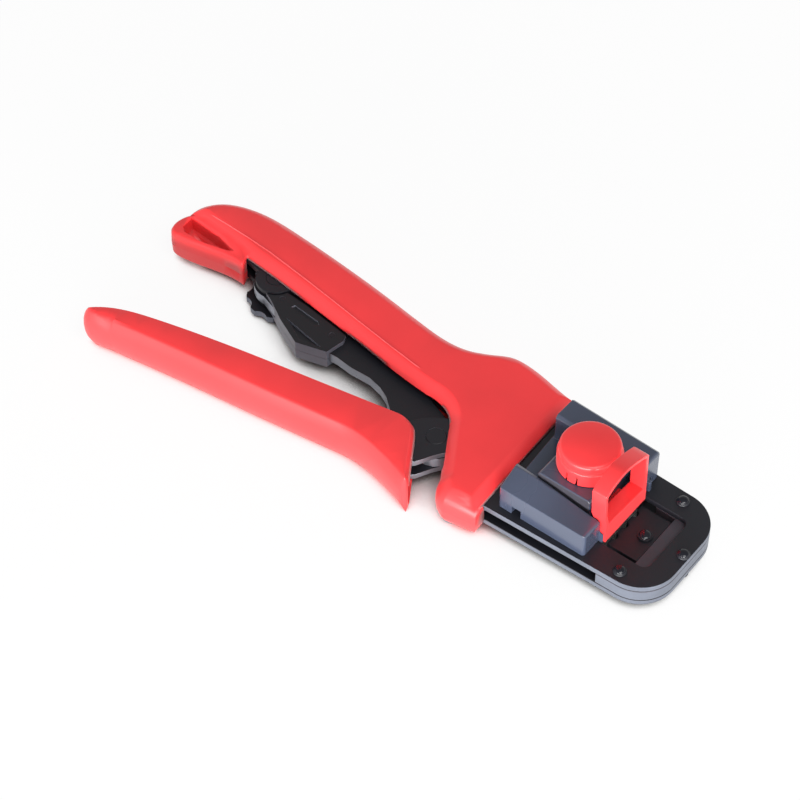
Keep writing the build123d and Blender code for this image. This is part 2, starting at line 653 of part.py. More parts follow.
def ratchet_pawl():
    """Double acting pawl with a lever whose tip shows at the inner edge of the grip."""
    z0, z1 = Z_MID - ARM_T / 2, Z_MID + ARM_T / 2
    tip = polar(P2, SECTOR_R + PAWL_CLEAR, PAWL_ANGLE)
    part = slab([polar(PAWL_PIVOT, PAWL_HUB, PAWL_ANGLE - 255), tip,
                 polar(PAWL_PIVOT, PAWL_HUB, PAWL_ANGLE - 105)], z0, z1)
    part += rod(PAWL_PIVOT, PAWL_HUB, z0, z1)
    a = lever_angle()
    part += slab([polar(PAWL_PIVOT, PAWL_HUB - 0.2, a - 70), polar(NUB, NUB_R, a - 70), polar(NUB, NUB_R, a),
                  polar(NUB, NUB_R, a + 70), polar(PAWL_PIVOT, PAWL_HUB - 0.2, a + 70)], z0, z1)
    return part - rod(PAWL_PIVOT, PAWL_PIN_R + RUN, 0, THROUGH)


def pawl_spring():
    """Leaf spring on a post beside the pawl, drawn where the rocked lever leaves it."""
    a = lever_angle()
    root, end = polar(PAWL_PIVOT, PAWL_HUB, a + 70), polar(NUB, NUB_R, a + 70)
    touch = (root[0] + LEAF_AT * (end[0] - root[0]), root[1] + LEAF_AT * (end[1] - root[1]))
    leaf = bar(LEAF_POST, polar(touch, LEAF_AIR, a + 90), LEAF_T, Z_MID - LEAF_HALF, Z_MID + LEAF_HALF)
    return rod(LEAF_POST, LEAF_R, Z_GAP0, Z_GAP1) + leaf


def wall(rear, front, x0, x1):
    """Upright wall along X between two end profiles in Y and Z, with a bevelled front top edge."""
    ends = ((x0, rear), (x1, front))
    part = Solid.make_loft([Wire(Polyline(*[(place(x), y, z) for y, z in profile], close=True).edges())
                            for x, profile in ends], ruled=True)
    top = max(z for y, z in front)
    low = min(z for y, z in front)
    x = place(x1)
    cut = make_face(Polyline((x - WALL_BEVEL, -THROUGH, top + 1), (x + 1, -THROUGH, top + 1),
                             (x + 1, -THROUGH, low + 4), (x - WALL_BEVEL, -THROUGH, top - WALL_BEVEL),
                             close=True))
    return part - extrude(cut, 2 * THROUGH, dir=(0, 1, 0))


def locator_base():
    """Saddle on the upper plate: a floor and two side walls, each with a catch rib at its front."""
    near, far = NEAR_WALL[0][0], FAR_WALL[1][0]
    part = box(LOC_X0, LOC_FLOOR_X1, near, far, Z_TOP, Z_TOP + LOC_FLOOR)
    part += wall(NEAR_WALL, NEAR_WALL, NEAR_X0, WALL_X1)
    part += wall(FAR_WALL_REAR, FAR_WALL, FAR_X0, WALL_X1)
    rib_l, rib_w, rib_h = RIB
    for y in (NEAR_WALL[1][0] - rib_w - ARCH_AIR, FAR_WALL[0][0] + rib_w):
        part += box(WALL_X1 - 1, WALL_X1 + rib_l, y, y + rib_w, Z_TOP, Z_TOP + rib_h)
    x0, x1, deep, high = NOTCH
    part -= box(x0, x1, -THROUGH, near + deep, 0, Z_TOP + high)
    half = TONGUE_HALF + TONGUE_SIDE
    part -= box(TONGUE_X0 - ARCH_SPRING_L - TONGUE_SIDE, NOSE_X, LOC_Y - half, LOC_Y + half,
                Z_TOP + TONGUE_FLOOR, THROUGH)
    for at in LOC_SCREWS:
        part -= rod(at, LOC_SCREW_R, 0, Z_TOP + LOC_SCREW_L)
    return part


def locator_deck():
    """Block between the walls that carries the knob and covers the tongue of the arch."""
    part = box(DECK_X0, DECK_X1, DECK_Y0, DECK_Y1, Z_TOP + LOC_FLOOR, DECK_TOP)
    part = chamfer([e for e in part.edges().filter_by(Axis.Y) if e.center().Z > DECK_TOP - 0.01], DECK_BEVEL)
    half = TONGUE_HALF + TONGUE_SIDE
    roof = Z_TOP + TONGUE_FLOOR + TONGUE_LIFT + TONGUE_T + TONGUE_ROOF
    part -= box(0, NOSE_X, LOC_Y - half, LOC_Y + half, 0, roof)
    part -= rod(KNOB, KNOB_HUB_R + RUN, DECK_TOP - KNOB_HUB_H - TONGUE_ROOF, THROUGH)
    part -= rod(KNOB, SPINDLE_R + RUN, 0, THROUGH)
    part -= rod(KNOB, SPINDLE_HEAD_R + SPINDLE_HEAD_AIR, 0, spindle_seat() + FACE_CLEAR)
    return part


def spindle_seat():
    """Height of the shoulder under the head of the knob spindle."""
    roof = Z_TOP + TONGUE_FLOOR + TONGUE_LIFT + TONGUE_T + TONGUE_ROOF
    return roof + SPINDLE_HEAD_AIR + SPINDLE_HEAD_H


def locator_knob():
    """Turned cap with a step below its slightly domed face; slots low in the skirt."""
    z0 = DECK_TOP + KNOB_AIR
    z1 = z0 + KNOB_H
    zs = z1 - KNOB_STEP_H
    ring = [(0, DECK_TOP - KNOB_HUB_H), (KNOB_HUB_R, DECK_TOP - KNOB_HUB_H), (KNOB_HUB_R, z0),
            (KNOB_R, z0), (KNOB_R, zs), (KNOB_R - 0.4, zs + 0.4), (KNOB_STEP_R, zs + 0.5),
            (KNOB_STEP_R, z1 - KNOB_FACE_H - 0.8), (KNOB_FACE_R + 0.6, z1 - KNOB_FACE_H - 0.2),
            (KNOB_FACE_R, z1 - KNOB_FACE_H), (KNOB_FACE_R * 0.7, z1 - KNOB_FACE_H * 0.4), (0, z1)]
    x, y = place(KNOB[0]), KNOB[1]
    face = make_face(Polyline(*[(x + r, y, z) for r, z in ring], close=True))
    part = revolve(face, axis=Axis((x, y, 0), (0, 0, 1)))
    for a in KNOB_SLOTS:
        for turn in (0, 180):
            part -= rod(polar(KNOB, KNOB_R, a + turn), KNOB_SLOT_R, 0, z0 + KNOB_SLOT_H)
    return part - rod(KNOB, SPINDLE_R, 0, z0 + SPINDLE_DEPTH)


def knob_spindle():
    """Shoulder screw put into the knob from below; its head turns in a recess under the deck."""
    z0 = spindle_seat()
    part = rod(KNOB, SPINDLE_R, z0, DECK_TOP + KNOB_AIR + SPINDLE_DEPTH)
    head = rod(KNOB, SPINDLE_HEAD_R, z0 - SPINDLE_HEAD_H, z0)
    return part + head - rod(KNOB, DRIVE_R, 0, z0 - SPINDLE_HEAD_H + DRIVE_H)


def along_x(part, y, z):
    """The edges of part that run along X through y and z."""
    return [e for e in part.edges().filter_by(Axis.X)
            if abs(e.center().Y - y) < 0.01 and abs(e.center().Z - z) < 0.01]


def locator_arch():
    """Sliding gate in front of the knob, an open window over a base bar, with a tongue to the rear."""
    x0, x1 = ARCH_X0, ARCH_X0 + ARCH_L
    z0 = Z_TOP + ARCH_AIR
    part = box(x0, x1, ARCH_Y0, ARCH_Y1, z0, ARCH_TOP)
    part = fillet(along_x(part, ARCH_Y0, ARCH_TOP), ARCH_NEAR_R)
    part = fillet(along_x(part, ARCH_Y1, ARCH_TOP), ARCH_FAR_R)
    y0, y1, z1 = ARCH_Y0 + ARCH_NEAR_W, ARCH_Y1 - ARCH_FAR_W, ARCH_TOP - ARCH_FALL - ARCH_CROWN
    hole = box(x0 - 1, x1 + 1, y0, y1, z0 + ARCH_BAR, z1)
    part -= fillet(along_x(hole, y0, z1), ARCH_HOLE_R)
    xa, xb = place(x0), place(x1)
    fall = make_face(Polyline((xa, -THROUGH, ARCH_TOP), (xb, -THROUGH, ARCH_TOP - ARCH_FALL),
                              (xb, -THROUGH, ARCH_TOP + 1), (xa, -THROUGH, ARCH_TOP + 1), close=True))
    part -= extrude(fall, 2 * THROUGH, dir=(0, 1, 0))
    zt = Z_TOP + TONGUE_FLOOR + TONGUE_LIFT
    part += box(TONGUE_X0, x0 + 1, LOC_Y - TONGUE_HALF, LOC_Y + TONGUE_HALF, zt, zt + TONGUE_T)
    return part


def arch_spring():
    zt = Z_TOP + TONGUE_FLOOR + TONGUE_LIFT + TONGUE_T / 2
    x0 = place(TONGUE_X0) - FACE_CLEAR - ARCH_SPRING_L
    return Pos(x0, LOC_Y, zt) * coil(ARCH_SPRING_R, ARCH_SPRING_WIRE, ARCH_SPRING_L, SPRING_TURNS)


def locator_screw(at):
    return rod(at, LOC_SCREW_R, Z_GAP1 + LOC_SCREW_FOOT, Z_TOP + LOC_SCREW_L)


def build():
    plate = frame_plate()
    add("frame_upper_plate", plate, BLACK)
    lower = mirrored(plate)
    add("frame_lower_plate", lower, BLACK)
    add("nose_spacer", nose_spacer(), GREY)
    add("nose_rivets", group([rivet(at, Z_LOW, Z_TOP, RIVET_HEAD_H) for at in NOSE_RIVETS]), BLACK)
    add("spine_spacer", spine_spacer(), GREY)
    add("spine_rivets", group([rivet(at, Z_LOW, Z_TOP, 0) for at in SPINE_RIVETS]), BLACK)
    add("slide_guides", group([slide_guide(s) for s in (-1, 1)]), GREY)
    add("guide_rivets", group([rivet((x, s * GUIDE_RIVET_Y), Z_LOW, Z_TOP, 0)
                               for x in GUIDE_RIVETS for s in (-1, 1)]), BLACK)
    add("anvil_die", anvil_die(), GREY)
    add("die_screw", die_screw(), BLACK)
    add("punch_die", punch_die(), GREY)
    add("jaw_slide", jaw_slide(), GREY)
    add("return_springs", group([return_spring(s) for s in (-1, 1)]), STEEL)
    hplate = handle_plate()
    add("handle_upper_plate", hplate, BLACK)
    add("handle_lower_plate", mirrored(hplate), BLACK)
    add("handle_rivets", group([handle_rivet(at) for at in HANDLE_RIVETS]), STEEL)
    add("jaw_pin", pivot_pin(P1), BLACK)
    add("link_pin", pivot_pin(P2), BLACK)
    add("link_arm", link_arm(), BLACK)
    add("arm_cover_upper", arm_cover(True), BLACK)
    add("arm_cover_lower", arm_cover(False), BLACK)
    add("cover_screws", group([cover_screw(at) for at in COVER_SCREWS]), BLACK)
    add("adjuster_wheel", star_wheel(), BLACK)
    add("adjuster_pin", adjuster_pin(), STEEL)
    add("body_upper_shell", shell(True), RED)
    add("body_lower_shell", shell(False), RED)
    add("body_screws", group([shell_screw(at) for at in SHELL_SCREWS]), STEEL)
    add("moving_grip", moving_grip(), RED)
    add("ratchet_pawl", ratchet_pawl(), GREY)
    add("pawl_pin", rod(PAWL_PIVOT, PAWL_PIN_R, Z_LOW, Z_TOP), STEEL)
    add("pawl_spring", pawl_spring(), STEEL)
    add("locator_base", locator_base(), SLATE)
    add("locator_deck", locator_deck(), SLATE)
    add("locator_knob", locator_knob(), RED)
    add("knob_spindle", knob_spindle(), STEEL)
    add("locator_arch", locator_arch(), RED)
    add("arch_spring", arch_spring(), STEEL)
    add("locator_screws", group([locator_screw(at) for at in LOC_SCREWS]), STEEL)


build()
os.makedirs("parts", exist_ok=True)
for name, part in PARTS.items():
    export_step(part, "parts/" + name + ".step")
    print(name, len(part.solids()), round(part.volume), part.is_valid)
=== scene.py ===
"""Looks of the hand crimping tool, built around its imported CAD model."""
import json
import math

import bmesh
import bpy
from mathutils import Matrix, Vector
from mathutils.bvhtree import BVHTree

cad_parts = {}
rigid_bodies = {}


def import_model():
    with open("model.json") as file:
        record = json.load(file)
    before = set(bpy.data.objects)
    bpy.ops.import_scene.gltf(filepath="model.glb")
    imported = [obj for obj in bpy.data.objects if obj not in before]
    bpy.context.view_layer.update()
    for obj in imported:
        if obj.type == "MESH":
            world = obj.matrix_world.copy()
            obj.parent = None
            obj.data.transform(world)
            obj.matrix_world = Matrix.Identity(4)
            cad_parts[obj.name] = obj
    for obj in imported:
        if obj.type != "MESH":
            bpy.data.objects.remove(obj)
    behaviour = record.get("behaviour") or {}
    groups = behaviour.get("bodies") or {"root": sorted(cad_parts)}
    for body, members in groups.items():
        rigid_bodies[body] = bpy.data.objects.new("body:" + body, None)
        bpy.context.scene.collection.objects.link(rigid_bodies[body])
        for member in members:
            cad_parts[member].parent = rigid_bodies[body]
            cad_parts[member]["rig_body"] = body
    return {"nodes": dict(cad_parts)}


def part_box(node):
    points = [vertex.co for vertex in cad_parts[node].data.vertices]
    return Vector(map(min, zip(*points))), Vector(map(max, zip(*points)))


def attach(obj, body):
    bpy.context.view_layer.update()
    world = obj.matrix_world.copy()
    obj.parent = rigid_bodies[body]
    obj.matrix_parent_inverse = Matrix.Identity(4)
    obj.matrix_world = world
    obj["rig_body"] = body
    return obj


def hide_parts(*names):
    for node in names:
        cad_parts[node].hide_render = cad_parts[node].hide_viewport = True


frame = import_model()
NODES = frame["nodes"]
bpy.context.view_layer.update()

bl_info = {
    "name": "Crimping tool",
    "version": (1, 0, 0),
    "blender": (4, 5, 0),
    "location": "View3D > Sidebar > Crimping tool",
    "description": "Dresses the crimping tool and sets its stage",
    "category": "Object",
}

MM = 0.001
PLAN_X = 47.0  # mm: x of the frame's origin in the plan that the paths and outlines below were drawn in
ABOVE = 0.06  # m: a height over every piece, from which rays look down
DOWN = Vector((0.0, 0.0, -1.0))
MERGE = 0.001 * MM


def linear(hex_colour):
    """Linear RGB from an sRGB hex colour."""
    parts = [int(hex_colour[i:i + 2], 16) / 255 for i in (1, 3, 5)]
    return [c / 12.92 if c <= 0.04045 else ((c + 0.055) / 1.055) ** 2.4 for c in parts]


def colour(name, text, default):
    """Colour property with an sRGB hex default."""
    return bpy.props.FloatVectorProperty(name=name, description=text, default=linear(default),
                                         subtype="COLOR", size=3, min=0.0, max=1.0)


def length(name, text, default):
    """Length property with its default in mm."""
    return bpy.props.FloatProperty(name=name, description=text, default=default * MM,
                                   subtype="DISTANCE", unit="LENGTH", min=0.0, precision=5)


class CrimperColours(bpy.types.PropertyGroup):
    red: colour("Red plastic", "Handles, housing, knob and gate", "#F0373A")
    slate: colour("Slate plastic", "Locator saddle and deck", "#3E4557")
    # This black is also painted shade on the floors of the knob's slots
    black: colour("Black plastic", "Top of the link arm's cover, and the knob's slots", "#141319")
    # Painted light: a paler grey stands in for the light that the cover's upright sides catch from the low front
    # lamp and the floor
    black_side: colour("Black plastic sides", "Sides of the link arm's cover", "#6A6C78")
    oxide: colour("Black oxide steel", "Faces of the plates, dies, pins and rivet heads", "#12131B")
    dull: colour("Dull black steel", "Slide, guides and spacers", "#3C3A42")
    sheared: colour("Sheared steel", "Bare edges of the frame plates, nose spacer and wheel", "#6A6F7B")
    ground: colour("Ground steel", "Pawl, and edges of the handle plates and link arm", "#8E929B")
    bright: colour("Bright steel", "Screws, pins and springs", "#B9BCC2")
    # Paler than the red as a painted highlight along the seam's ridge
    seam: colour("Seam", "Raised line on the fixed handle", "#F4585B")
    floor: colour("Floor", "Studio floor", "#FAFAFA")


class CrimperSizes(bpy.types.PropertyGroup):
    plate_edge: length("Plate edge", "Rounding of the stamped edges", 0.3)
    mould_edge: length("Mould edge", "Rounding of the sharp edges of mouldings", 0.5)
    saddle_end: length("Saddle end", "Rounding of the outer ends of the saddle walls", 1.3)
    saddle_low: length("Saddle front height", "Height of the near wall's top at its front end", 25.4)
    small_edge: length("Small edge", "Rounding of small steel pieces", 0.15)
    seam_w: length("Seam width", "Width of the raised seam on the fixed handle", 0.5)
    seam_proud: length("Seam height", "Height of the raised seam on the fixed handle", 0.14)
    knob_r: length("Knob radius", "Radius of the knob skirt", 12.1)
    knob_step_r: length("Knob step radius", "Radius above the step of the knob", 11.45)
    knob_h: length("Knob height", "Height of the knob above the deck", 10.6)
    knob_step_h: length("Knob step height", "Height of the band above the step", 4.6)
    knob_slot_h: length("Knob slot height", "Height of the slots in the skirt", 3.8)
    knob_slot_d: length("Knob slot depth", "Depth of the slots in the skirt", 2.0)
    gate_l: length("Gate length", "Length of the gate along the tool", 6.2)
    gate_edge: length("Gate edge", "Rounding of the gate's edges", 0.35)
    dome_h: length("Dome height", "Height of the domed heads over the CAD's flat ones", 0.9)
    rivet_dome_r: length("Rivet dome radius", "Radius of the domed heads of the nose rivets", 2.1)
    screw_dome_r: length("Screw dome radius", "Radius of the domed head of the die screw", 2.3)


def node(tree, kind, settings=None, links=None):
    """Adds one node with its settings, and links its inputs to sockets given by name or number."""
    made = tree.nodes.new(kind)
    for key, value in (settings or {}).items():
        if isinstance(key, int) or key in made.inputs:
            made.inputs[key].default_value = value
        else:
            setattr(made, key, value)
    for key, socket in (links or {}).items():
        tree.links.new(socket, made.inputs[key])
    return made


def blank(name):
    """Empty node material and its tree."""
    finish = bpy.data.materials.new(name)
    finish.use_nodes = True
    finish.node_tree.nodes.clear()
    return finish, finish.node_tree


def close_up(tree, shader):
    """Links the last shader to the material's output."""
    node(tree, "ShaderNodeOutputMaterial", links={"Surface": shader.outputs[0]})


def tint(rgb, k):
    """Colour made darker or lighter by a factor, with alpha."""
    return (min(1.0, rgb[0] * k), min(1.0, rgb[1] * k), min(1.0, rgb[2] * k), 1.0)


FLOW_MM = 40.0  # patches of tone in moulded plastic
HANDLED_MM = 16.0  # patches that hands and the bench have rubbed
CLOUD_MM = 14.0  # patches of tone on blackened or plated steel


def moulded(name, rgb, rough, grain_mm, grain_depth_mm, sheen=0.0, coat=0.0):
    """Injection moulded plastic: an even colour with a faint flow of tone and a spark eroded grain."""
    finish, tree = blank(name)
    where = node(tree, "ShaderNodeTexCoord")
    flow = node(tree, "ShaderNodeTexNoise", {"Scale": 1 / (FLOW_MM * MM), "Detail": 3.0, "Roughness": 0.5},
                {"Vector": where.outputs["Object"]})
    tone = node(tree, "ShaderNodeValToRGB", links={"Fac": flow.outputs["Fac"]})
    tone.color_ramp.elements[0].position = 0.35
    tone.color_ramp.elements[1].position = 0.65
    tone.color_ramp.elements[0].color = tint(rgb, 0.93)
    tone.color_ramp.elements[1].color = tint(rgb, 1.04)
    grain = node(tree, "ShaderNodeTexNoise", {"Scale": 1 / (grain_mm * MM), "Detail": 2.0, "Roughness": 0.6},
                 {"Vector": where.outputs["Object"]})
    worn = node(tree, "ShaderNodeTexNoise", {"Scale": 1 / (HANDLED_MM * MM), "Detail": 2.0, "Roughness": 0.5},
                {"Vector": where.outputs["Object"]})
    gloss = node(tree, "ShaderNodeMapRange", {"From Min": 0.1, "From Max": 0.9, "To Min": rough - 0.03,
                                              "To Max": rough + 0.04}, {"Value": worn.outputs["Fac"]})
    bump = node(tree, "ShaderNodeBump", {"Strength": 0.5, "Distance": grain_depth_mm * MM},
                {"Height": grain.outputs["Fac"]})
    shader = node(tree, "ShaderNodeBsdfPrincipled", {"IOR": 1.53, "Coat Weight": coat, "Coat Roughness": 0.2,
                                                     "Sheen Weight": sheen, "Sheen Roughness": 0.35},
                  {"Base Color": tone.outputs["Color"], "Roughness": gloss.outputs["Result"],
                   "Normal": bump.outputs["Normal"]})
    close_up(tree, shader)
    return finish


def steel(name, rgb, rough, metallic, lay_mm, lay_along=(1.0, 1.0, 1.0), spread=0.08, depth_mm=0.01):
    """Steel with the fine lay of its last process: blackened, sheared, ground or plated."""
    finish, tree = blank(name)
    where = node(tree, "ShaderNodeTexCoord")
    turned = node(tree, "ShaderNodeMapping", {"Scale": lay_along}, {"Vector": where.outputs["Object"]})
    lay = node(tree, "ShaderNodeTexNoise", {"Scale": 1 / (lay_mm * MM), "Detail": 4.0, "Roughness": 0.6},
               {"Vector": turned.outputs["Vector"]})
    cloud = node(tree, "ShaderNodeTexNoise", {"Scale": 1 / (CLOUD_MM * MM), "Detail": 4.0, "Roughness": 0.6},
                 {"Vector": where.outputs["Object"]})
    tone = node(tree, "ShaderNodeValToRGB", links={"Fac": cloud.outputs["Fac"]})
    tone.color_ramp.elements[0].position = 0.3
    tone.color_ramp.elements[1].position = 0.7
    tone.color_ramp.elements[0].color = tint(rgb, 0.85)
    tone.color_ramp.elements[1].color = tint(rgb, 1.12)
    gloss = node(tree, "ShaderNodeMapRange", {"From Min": 0.3, "From Max": 0.7, "To Min": rough - spread,
                                              "To Max": rough + spread}, {"Value": lay.outputs["Fac"]})
    bump = node(tree, "ShaderNodeBump", {"Strength": 0.4, "Distance": depth_mm * MM},
                {"Height": lay.outputs["Fac"]})
    shader = node(tree, "ShaderNodeBsdfPrincipled", {"Metallic": metallic},
                  {"Base Color": tone.outputs["Color"], "Roughness": gloss.outputs["Result"],
                   "Normal": bump.outputs["Normal"]})
    close_up(tree, shader)
    return finish


SHADE_MM = 40.0  # reach of the soft shadow on the floor


def studio_white(name, rgb):
    """Pale painted floor: near white to the camera, with a soft shadow, dark in the gap beneath the tool."""
    finish, tree = blank(name)
    shut = node(tree, "ShaderNodeAmbientOcclusion", {"Distance": SHADE_MM * MM, "samples": 8})
    dim = node(tree, "ShaderNodeMapRange",
               {"From Min": 0.08, "From Max": 0.34, "To Min": 0.02, "To Max": rgb[0]},
               {"Value": shut.outputs["AO"]})
    paint = node(tree, "ShaderNodeBsdfDiffuse", links={"Color": dim.outputs["Result"]})
    glow = node(tree, "ShaderNodeEmission", {"Color": (1.0, 1.0, 1.0, 1.0), "Strength": 1.0})
    ray = node(tree, "ShaderNodeLightPath")
    seen = node(tree, "ShaderNodeMath", {"operation": "MAXIMUM"},
                {0: ray.outputs["Is Camera Ray"], 1: ray.outputs["Is Glossy Ray"]})
    clear = node(tree, "ShaderNodeMath", {"operation": "MAXIMUM"},
                 {0: seen.outputs[0], 1: ray.outputs["Is Transmission Ray"]})
    openness = node(tree, "ShaderNodeMapRange",
                    {"From Min": 0.34, "From Max": 0.56, "To Min": 0.0, "To Max": 0.9},
                    {"Value": shut.outputs["AO"]})
    share = node(tree, "ShaderNodeMath", {"operation": "MULTIPLY"},
                 {0: clear.outputs[0], 1: openness.outputs[0]})
    mixed = node(tree, "ShaderNodeMixShader",
                 links={0: share.outputs[0], 1: paint.outputs[0], 2: glow.outputs[0]})
    close_up(tree, mixed)
    return finish


def finishes():
    """All finishes of the tool by name, made once."""
    c = bpy.context.scene.crimper_colours
    wanted = {
        # glass filled nylon, injection moulded in a spark eroded tool: satin, with a fine grain
        "red": lambda: moulded("satin_red_nylon", c.red, 0.42, 0.35, 0.010, sheen=0.12),
        # the same nylon from a smoother tool: knob and gate
        "red_smooth": lambda: moulded("smooth_red_nylon", c.red, 0.30, 0.5, 0.004, sheen=0.12),
        # the same nylon, paler along the raised seam as a painted highlight of its ridge
        "seam": lambda: moulded("seam_red_painted_highlight", c.seam, 0.45, 0.5, 0.002),
        # ABS from a polished tool: dark with clear soft highlights
        "slate": lambda: moulded("glossy_slate_abs", c.slate, 0.26, 0.4, 0.003, coat=0.4),
        # black nylon from an eroded tool; its upright sides take a paler grey copy of it as painted light from
        # the low lamp and the floor
        "black": lambda: moulded("satin_black_nylon", c.black, 0.34, 0.35, 0.006),
        "black_side": lambda: moulded("satin_black_nylon_painted_light_side", c.black_side, 0.40, 0.35, 0.010),
        # plates stamped from strip, tumbled and hot blackened: even, slightly glossy black
        "oxide": lambda: steel("black_oxide_steel", c.oxide, 0.5, 0.0, 0.5),
        # the same black on formed heads, burnished by the riveting tool
        "polished": lambda: steel("burnished_black_steel", c.oxide, 0.14, 0.0, 0.5, spread=0.03, depth_mm=0.002),
        # edges left bare by the shear, with marks across the strip's thickness
        "sheared": lambda: steel("sheared_steel_edge", c.sheared, 0.42, 0.4, 0.35, (1.0, 1.0, 0.12), 0.1, 0.02),
        # edges and small parts ground along the tool
        "ground": lambda: steel("ground_steel", c.ground, 0.34, 0.8, 0.3, (0.08, 1.0, 1.0)),
        # oiled black steel inside the head
        "dull": lambda: steel("dull_black_steel", c.dull, 0.5, 0.0, 0.5),
        # turned or coiled steel, zinc plated
        "bright": lambda: steel("zinc_plated_steel", c.bright, 0.28, 1.0, 0.6),
    }
    return {key: bpy.data.materials.get(key) or make() for key, make in wanted.items()}


def body_of(name):
    """Body that carries a CAD node."""
    return NODES[name]["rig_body"]


def finished(name, bm, skins, body, stands_for=(), smooth=32.0):
    """Turns a bmesh into a piece that rides on its body, with its finishes and smooth shading."""
    mesh = bpy.data.meshes.new(name)
    bm.to_mesh(mesh)
    bm.free()
    for skin in skins:
        mesh.materials.append(skin)
    mesh.shade_smooth()
    mesh.set_sharp_from_angle(angle=math.radians(smooth))
    piece = bpy.data.objects.new(name, mesh)
    bpy.context.scene.collection.objects.link(piece)
    piece.modifiers.new("weighted_normals", "WEIGHTED_NORMAL").keep_sharp = True
    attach(piece, body)
    if stands_for:
        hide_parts(*stands_for)
    return piece


def copied(name, flat=0.6):
    """Bmesh copy of a CAD node with its loose triangles joined and its flat facets merged."""
    bm = bmesh.new()
    bm.from_mesh(NODES[name].data)
    bmesh.ops.remove_doubles(bm, verts=bm.verts, dist=0.002 * MM)
    if flat:
        bmesh.ops.dissolve_limit(bm, angle_limit=math.radians(flat), verts=bm.verts, edges=bm.edges)
    return bm


def soften(bm, edge, steps=2, above=28.0):
    """Rounds every edge sharper than the given angle, in degrees."""
    sharp = [e for e in bm.edges if len(e.link_faces) == 2 and e.calc_face_angle() > math.radians(above)]
    bmesh.ops.bevel(bm, geom=sharp, offset=edge, offset_type="OFFSET", segments=steps, profile=0.5,
                    affect="EDGES", clamp_overlap=False, material=-1)


def dressed(name, edge, skins, pick=None, steps=2, smooth=32.0, flat=0.6):
    """Piece that stands for a CAD node: its copy with rounded edges; pick gives a face its finish."""
    bm = copied(name, flat)
    if edge:
        soften(bm, edge, steps)
    bm.normal_update()
    if pick:
        for face in bm.faces:
            face.material_index = pick(face)
    return finished(name + "_dressed", bm, skins, body_of(name), (name,), smooth)


# The picks below give each face the number of its finish, by the rise of its normal.
FLAT = 0.75
UPRIGHT = 0.3
NEARWARD = -0.8
NOSE_X, SIDE_Y = 80.0 * MM, 22.0 * MM  # outer edges of the head lie beyond one of these


def flat_up(face):
    """Flat faces keep the first finish."""
    return 0 if abs(face.normal.z) > FLAT else 1


def near_side_painted_shade(face):
    """Upright faces on the near side take the second finish; on the deck this is painted shade."""
    return 1 if face.normal.y < NEARWARD else 0


def outward(face):
    """True where a face of the head looks out of it, so that the walls of a window stay black."""
    at = face.calc_center_median()
    return face.normal.x * at.x + face.normal.y * at.y > 0 and (at.x > NOSE_X or abs(at.y) > SIDE_Y)


def top_rim_painted_highlight(face):
    """Bare edge of the top plate, with its upper corner in the same pale steel as a painted highlight; its lower
    corner keeps the oxide.
    """
    return 1 if -UPRIGHT < face.normal.z < FLAT and outward(face) else 0


def rim(face):
    """Bare edge between two oxide corners."""
    return 1 if abs(face.normal.z) < UPRIGHT and outward(face) else 0


class CRIMPER_OT_handles(bpy.types.Operator):
    """Red mouldings: the two halves of the fixed handle and housing, and the moving grip"""
    bl_idname = "crimper.handles"
    bl_label = "Handles"

    def execute(self, context):
        skin = finishes()
        for name in ("body_upper_shell", "body_lower_shell", "moving_grip"):
            dressed(name, 0.0, [skin["red"]], smooth=38.0, flat=0.0)
        return {"FINISHED"}


def faces_of(name):
    """Search tree of a CAD node's faces."""
    bm = bmesh.new()
    bm.from_mesh(NODES[name].data)
    tree = BVHTree.FromBMesh(bm)
    bm.free()
    return tree


def seat(tree, x, y):
    """Point of the upper side below a place in plan, in metres."""
    return tree.ray_cast(Vector((x, y, ABOVE)), DOWN)[0]


SEAM_PATH = [(-109.4, 22.6), (-101.0, 22.4), (-93.2, 21.9), (-77.0, 20.8), (-60.2, 18.6), (-42.4, 16.0),
             (-26.1, 13.5), (-9.8, 11.1), (1.4, 9.6), (8.9, 8.7)]
SEAM_STEP = 2.0  # mm between the points that are seated on the handle
SEAM_TIP = 0.15  # thickness of the seam's two ends, as a share


def bead(name, path, width, proud, skin, body, on):
    """Fine raised line along a path in plan, seated on the upper side of a CAD node."""
    tree = faces_of(on)
    curve = bpy.data.curves.new(name, "CURVE")
    curve.dimensions = "3D"
    line = curve.splines.new("POLY")
    seats = []
    for (xa, ya), (xb, yb) in zip(path, path[1:]):
        steps = max(2, round(math.hypot(xb - xa, yb - ya) / SEAM_STEP))
        for i in range(steps):
            t = i / steps
            at = seat(tree, (xa + (xb - xa) * t - PLAN_X) * MM, (ya + (yb - ya) * t) * MM)
            seats.append(at + Vector((0.0, 0.0, proud - width / 2)))
    line.points.add(len(seats) - 1)
    for point, at in zip(line.points, seats):
        point.co = (*at, 1.0)
    line.points[0].radius = line.points[-1].radius = SEAM_TIP
    curve.bevel_depth = width / 2
    curve.bevel_resolution = 2
    curve.use_fill_caps = True
    made = bpy.data.objects.new(name + "_line", curve)
    bpy.context.scene.collection.objects.link(made)
    mesh = bpy.data.meshes.new_from_object(made)
    bpy.data.objects.remove(made)
    bm = bmesh.new()
    bm.from_mesh(mesh)
    return finished(name, bm, [skin], body)


class CRIMPER_OT_seam(bpy.types.Operator):
    """Fine raised parting seam along the top of the fixed handle"""
    bl_idname = "crimper.seam"
    bl_label = "Seam"

    def execute(self, context):
        size = context.scene.crimper_sizes
        bead("handle_seam", SEAM_PATH, size.seam_w, size.seam_proud, finishes()["seam"], "frame",
             "body_upper_shell")
        return {"FINISHED"}


